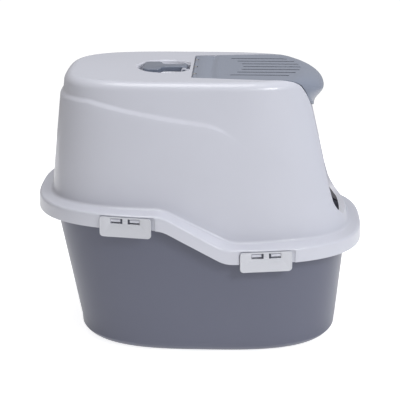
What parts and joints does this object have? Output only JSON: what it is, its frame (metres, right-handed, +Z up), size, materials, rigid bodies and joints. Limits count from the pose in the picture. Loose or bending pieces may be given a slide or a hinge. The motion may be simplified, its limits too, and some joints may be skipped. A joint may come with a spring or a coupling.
{
  "type": "litter box",
  "caption": "Hooded pet litter box with a lift-up top flap, an open front entrance, a fold-down carrying handle, side clips and a filter under the flap.",
  "frame": {"origin": "on the floor, under the middle of the rim", "axes": "+X towards the front entrance, +Y to the object's left, +Z up"},
  "size_m": [0.557, 0.4218, 0.4525],
  "materials": {
    "tub_plastic": "gloss",
    "hood_plastic": "gloss",
    "flap_plastic": "gloss",
    "handle_plastic": "gloss",
    "clip_plastic": "gloss",
    "filter_foam": "open-cell foam"
  },
  "bodies": {
    "tub": {"tub": "tub_plastic"},
    "hood": {"hood": "hood_plastic", "flap_mounts": "hood_plastic", "handle_mounts": "hood_plastic", "clip_pin_rear_left": "clip_plastic", "clip_pin_rear_right": "clip_plastic", "clip_pin_front_left": "clip_plastic", "clip_pin_front_right": "clip_plastic"},
    "flap": {"flap": "flap_plastic"},
    "filter_tray": {"filter_tray": "flap_plastic", "filter_pad": "filter_foam"},
    "handle": {"handle": "handle_plastic"},
    "clip_rear_left": {"clip_rear_left": "clip_plastic"},
    "clip_rear_right": {"clip_rear_right": "clip_plastic"},
    "clip_front_left": {"clip_front_left": "clip_plastic"},
    "clip_front_right": {"clip_front_right": "clip_plastic"}
  },
  "joints": [
    {"name": "hood_lift", "type": "slide", "parent": "tub", "child": "hood", "axis": [0, 0, 1], "range_m": [0, 0.42]},
    {"name": "flap_hinge", "type": "hinge", "parent": "hood", "child": "flap", "pos_m": [-0.009, 0, 0.448], "axis": [0, -1, 0], "range_deg": [0, 90]},
    {"name": "filter_tray_hinge", "type": "hinge", "parent": "flap", "child": "filter_tray", "pos_m": [0.0452, 0, 0.4417], "axis": [0, 1, 0], "range_deg": [0, 60]},
    {"name": "handle_hinge", "type": "hinge", "parent": "hood", "child": "handle", "pos_m": [-0.028, 0, 0.447], "axis": [0, 1, 0], "range_deg": [0, 88]},
    {"name": "clip_rear_left_hinge", "type": "hinge", "parent": "hood", "child": "clip_rear_left", "pos_m": [-0.11571, 0.20071, 0.2365], "axis": [0.9852, 0.1712, 0], "range_deg": [0, 50]},
    {"name": "clip_rear_right_hinge", "type": "hinge", "parent": "hood", "child": "clip_rear_right", "pos_m": [-0.11571, -0.20071, 0.2365], "axis": [-0.9852, 0.1712, 0], "range_deg": [0, 50]},
    {"name": "clip_front_left_hinge", "type": "hinge", "parent": "hood", "child": "clip_front_left", "pos_m": [0.11272, 0.20119, 0.1805], "axis": [0.9866, -0.163, 0], "range_deg": [0, 50]},
    {"name": "clip_front_right_hinge", "type": "hinge", "parent": "hood", "child": "clip_front_right", "pos_m": [0.11272, -0.20119, 0.1805], "axis": [-0.9866, -0.163, 0], "range_deg": [0, 50]}
  ]
}
